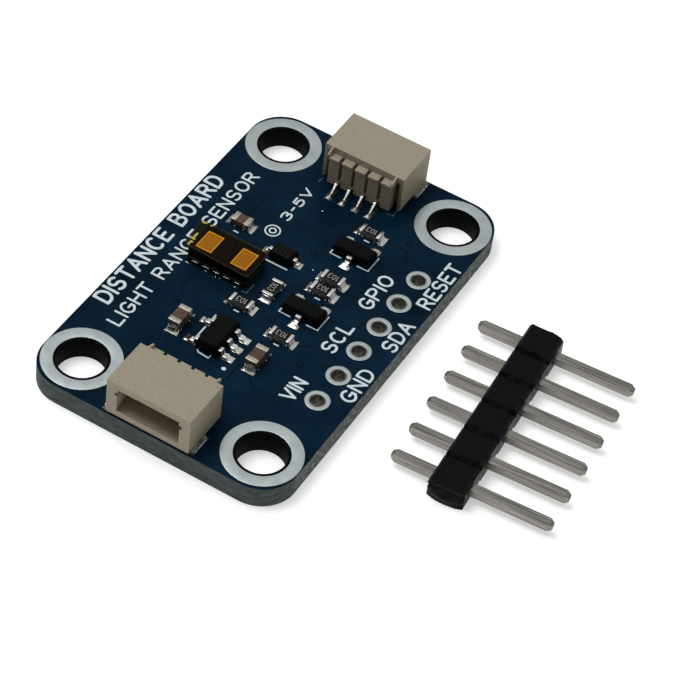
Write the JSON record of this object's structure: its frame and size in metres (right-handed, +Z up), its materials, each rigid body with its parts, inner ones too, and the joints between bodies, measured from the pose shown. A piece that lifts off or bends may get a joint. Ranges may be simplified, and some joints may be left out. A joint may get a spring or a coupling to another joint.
{
  "type": "optical distance sensor module",
  "caption": "Small dark board with a time-of-flight distance sensor, two side-entry wire connectors, corner mounting holes and a loose pin header.",
  "frame": {"origin": "centre of the four mounting holes, on the board's underside", "axes": "+X across the board towards the header holes, +Y along the board towards the upper connector, +Z up out of the component side"},
  "size_m": [0.033, 0.0296, 0.0046],
  "materials": {
    "solder_mask": "glossy dark navy solder mask over glass-epoxy laminate",
    "tinned_metal": "tin plated, satin",
    "solder": "reflowed solder, bright",
    "sensor_laminate": "dark laminate",
    "sensor_plastic": "black moulded cap",
    "window_glass": "infrared window, orange under the film",
    "silicon": "bare chip",
    "amber_film": "dark amber translucent polyimide film",
    "connector_plastic": "warm grey-beige moulded nylon",
    "silkscreen": "white printed legend, slightly blue",
    "contact_metal": "tin plated contact strip",
    "package_plastic": "black epoxy moulding compound",
    "resistor_body": "black glazed top over white ceramic",
    "capacitor_ceramic": "brown ceramic",
    "capacitor_terminal": "dull tin plated end",
    "header_plastic": "black glass-filled nylon",
    "pin_metal": "tin plated brass, dull"
  },
  "bodies": {
    "board": {"circuit_board": "solder_mask", "mount_rings": "tinned_metal", "header_rings": "tinned_metal", "solder_pads": "solder", "sensor_substrate": "sensor_laminate", "sensor_cap": "sensor_plastic", "emitter_window": "window_glass", "receiver_window": "window_glass", "emitter_die": "silicon", "receiver_die": "silicon", "lower_connector_housing": "connector_plastic", "lower_connector_tabs": "contact_metal", "upper_connector_housing": "connector_plastic", "upper_connector_tabs": "contact_metal", "lower_contact_1": "contact_metal", "lower_contact_2": "contact_metal", "lower_contact_3": "contact_metal", "lower_contact_4": "contact_metal", "upper_contact_1": "contact_metal", "upper_contact_2": "contact_metal", "upper_contact_3": "contact_metal", "upper_contact_4": "contact_metal", "regulator_body": "package_plastic", "regulator_leads": "tinned_metal", "diode_body": "package_plastic", "diode_leads": "tinned_metal", "transistor_1_body": "package_plastic", "transistor_2_body": "package_plastic", "transistor_1_leads": "tinned_metal", "transistor_2_leads": "tinned_metal", "resistor_1_body": "resistor_body", "resistor_2_body": "resistor_body", "resistor_3_body": "resistor_body", "resistor_4_body": "resistor_body", "resistor_5_body": "resistor_body", "resistor_6_body": "resistor_body", "resistor_1_ends": "tinned_metal", "resistor_2_ends": "tinned_metal", "resistor_3_ends": "tinned_metal", "resistor_4_ends": "tinned_metal", "resistor_5_ends": "tinned_metal", "resistor_6_ends": "tinned_metal", "capacitor_1_body": "capacitor_ceramic", "capacitor_2_body": "capacitor_ceramic", "capacitor_3_body": "capacitor_ceramic", "capacitor_1_ends": "capacitor_terminal", "capacitor_2_ends": "capacitor_terminal", "capacitor_3_ends": "capacitor_terminal"},
    "film": {"protective_film": "amber_film"},
    "header": {"header_housing": "header_plastic", "header_pin_1": "pin_metal", "header_pin_2": "pin_metal", "header_pin_3": "pin_metal", "header_pin_4": "pin_metal", "header_pin_5": "pin_metal", "header_pin_6": "pin_metal"}
  },
  "joints": [
    {"name": "header_lift", "type": "slide", "parent": "board", "child": "header", "axis": [0, 0, 1], "range_m": [0, 0.02]},
    {"name": "film_lift", "type": "slide", "parent": "board", "child": "film", "axis": [0, 0, 1], "range_m": [0, 0.01]}
  ]
}
